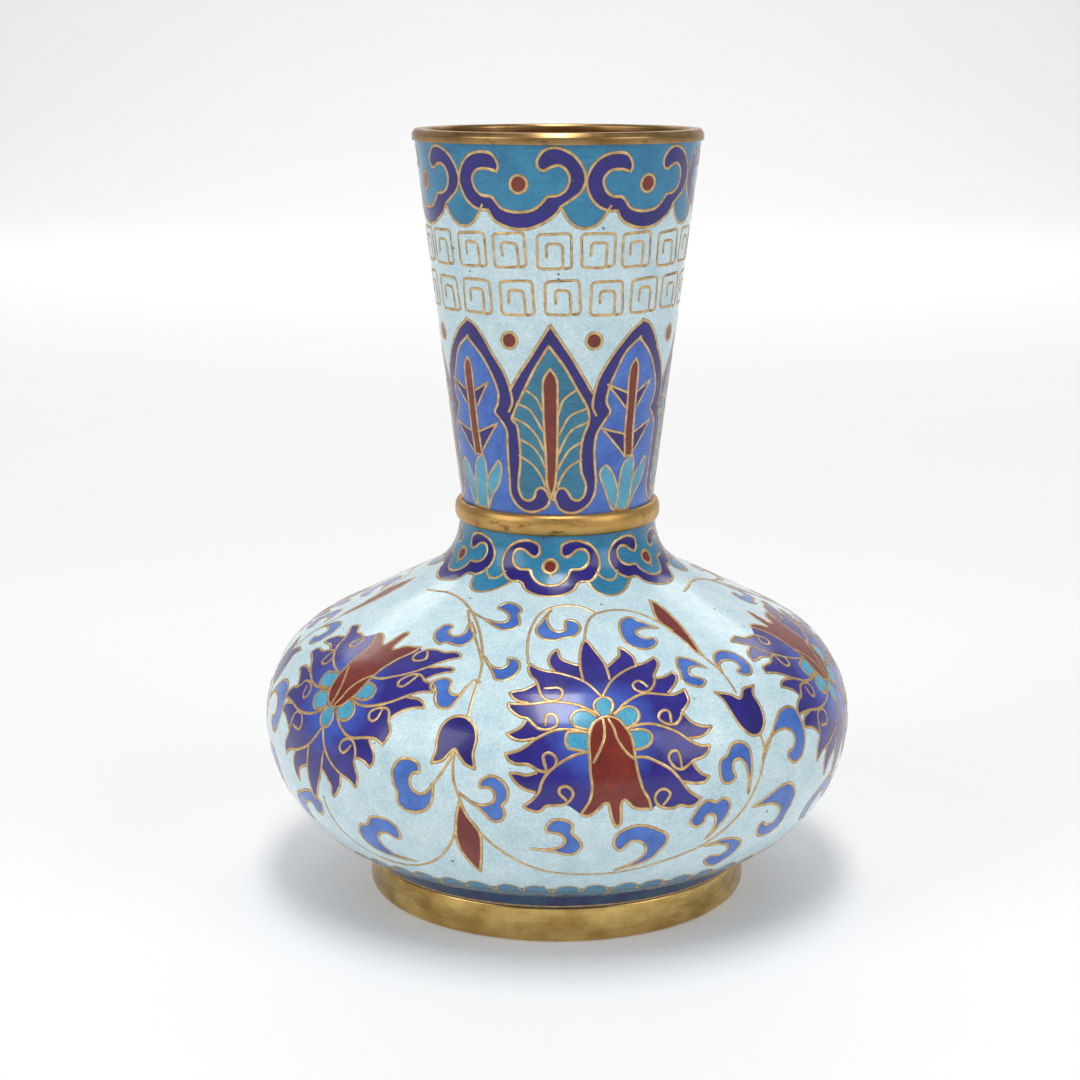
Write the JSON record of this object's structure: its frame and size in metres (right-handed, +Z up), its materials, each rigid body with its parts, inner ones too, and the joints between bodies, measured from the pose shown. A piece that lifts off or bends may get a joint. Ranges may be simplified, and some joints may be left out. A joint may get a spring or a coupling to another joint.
{
  "type": "cloisonne vase",
  "caption": "Bottle vase with a round belly and flared neck, copper with gilt fittings and wire-divided enamel, holds flowers or stands as an ornament.",
  "frame": {"origin": "on the vase's axis at floor level, under the middle of the foot ring", "axes": "+Z up along the axis of the vase, -Y is the front"},
  "size_m": [0.0984, 0.0984, 0.127],
  "materials": {
    "copper_body": "bare copper, dull inside",
    "gilt_brass": "polished gilt with tarnish patches",
    "wire_gilt": "polished flush with the enamel",
    "pale_aqua_enamel": "glossy, ground and polished, fine pits",
    "turquoise_enamel": "glossy, ground and polished",
    "teal_enamel": "glossy, ground and polished",
    "light_turquoise_enamel": "glossy, ground and polished",
    "cobalt_enamel": "glossy, ground and polished",
    "mid_blue_enamel": "glossy, ground and polished",
    "red_brown_enamel": "glossy, ground and polished",
    "counter_enamel": "glossy, unpolished, under the foot"
  },
  "bodies": {
    "root": {"neck_tube": "copper_body", "upper_body": "copper_body", "lower_body": "copper_body", "base_plate": "copper_body", "base_enamel": "counter_enamel", "mouth_rim": "gilt_brass", "collar_band": "gilt_brass", "foot_ring": "gilt_brass", "rim_clouds": "cobalt_enamel", "rim_wires": "wire_gilt", "rim_pearls": "red_brown_enamel", "rim_ground": "turquoise_enamel", "rim_scallops": "turquoise_enamel", "fret_wires": "wire_gilt", "neck_pearls": "red_brown_enamel", "fret_ground": "pale_aqua_enamel", "lappet_frames": "cobalt_enamel", "panel_wires": "wire_gilt", "tip_wires": "wire_gilt", "palm_fields": "teal_enamel", "palm_spines": "red_brown_enamel", "bamboo_fields": "mid_blue_enamel", "bamboo_stems": "red_brown_enamel", "bamboo_leaves": "cobalt_enamel", "bamboo_shoots": "light_turquoise_enamel", "shoulder_clouds": "cobalt_enamel", "shoulder_wires": "wire_gilt", "shoulder_pearls": "red_brown_enamel", "shoulder_ground": "turquoise_enamel", "shoulder_scallops": "turquoise_enamel", "lotus_petals": "cobalt_enamel", "lotus_bells": "red_brown_enamel", "lotus_lobes": "light_turquoise_enamel", "lotus_wires": "wire_gilt", "tulip_buds": "cobalt_enamel", "blade_leaves": "red_brown_enamel", "curl_leaves": "mid_blue_enamel", "leaf_wires": "wire_gilt", "belly_ground": "pale_aqua_enamel", "foot_petals": "turquoise_enamel", "petal_wires": "wire_gilt", "foot_band": "cobalt_enamel"}
  },
  "joints": []
}
